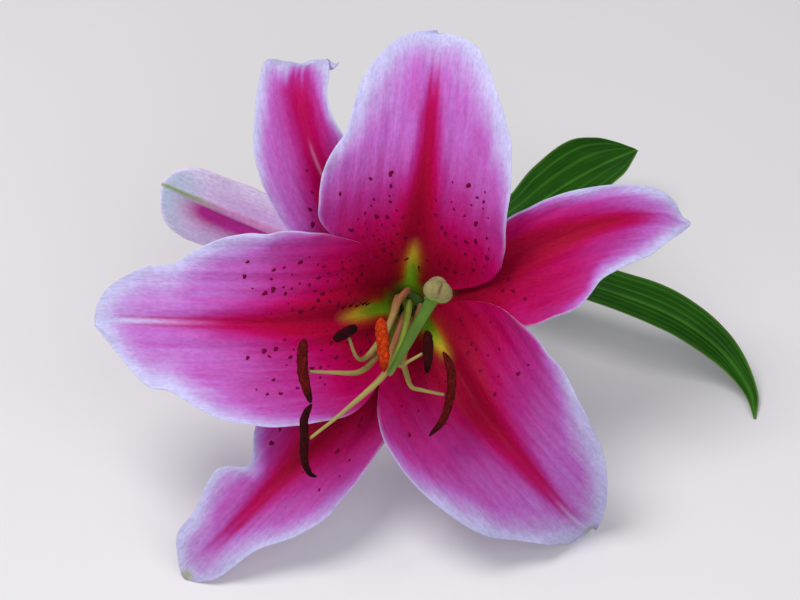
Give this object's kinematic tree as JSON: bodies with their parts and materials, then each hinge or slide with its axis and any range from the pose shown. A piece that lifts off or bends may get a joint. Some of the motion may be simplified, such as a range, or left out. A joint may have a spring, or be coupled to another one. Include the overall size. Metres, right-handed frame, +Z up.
{
  "type": "cut lily",
  "caption": "Cut stem of pink and white lily lying down, one bloom wide open and a second half open behind it, with leaves.",
  "frame": {"origin": "middle of the footprint on the surface that the cut lily lies on", "axes": "+Z up, +Y back along the stem towards its cut end, so the open bloom faces -Y and up; +X to the bloom's right side as seen from its front"},
  "size_m": [0.2036, 0.2462, 0.1233],
  "materials": {
    "petal": "fresh petal: magenta pink, crimson midrib, white margin, dark spots, soft sheen",
    "bud_tepal": "outside of a tepal: pale lavender white with a green to pink midrib",
    "leaf": "waxy dark green leaf with fine parallel veins",
    "stem": "smooth green stem, pale wet cut end",
    "style": "waxy bright green",
    "stigma": "moist cream green, pinkish at the cleft",
    "filament": "smooth yellow green, tan pink at the foot",
    "anther": "dark maroon, velvety with pollen",
    "anther_orange": "orange red, powdery with pollen"
  },
  "bodies": {
    "root": {"petal_top": "petal", "petal_left": "petal", "petal_lower_right": "petal", "sepal_right": "petal", "sepal_lower_left": "petal", "sepal_upper_left": "petal", "receptacle": "stem", "ovary": "style", "style": "style", "stigma": "stigma", "filament_1": "filament", "filament_2": "filament", "filament_3": "filament", "filament_4": "filament", "filament_5": "filament", "filament_6": "filament", "anther_1": "anther", "anther_2": "anther", "anther_3": "anther_orange", "anther_4": "anther", "anther_5": "anther", "anther_6": "anther", "stem": "stem", "bud_receptacle": "stem", "bud_sepal_1": "bud_tepal", "bud_sepal_2": "bud_tepal", "bud_sepal_3": "bud_tepal", "bud_petal_1": "bud_tepal", "bud_petal_2": "bud_tepal", "bud_petal_3": "bud_tepal", "leaf_upper": "leaf", "leaf_right": "leaf"}
  },
  "joints": []
}
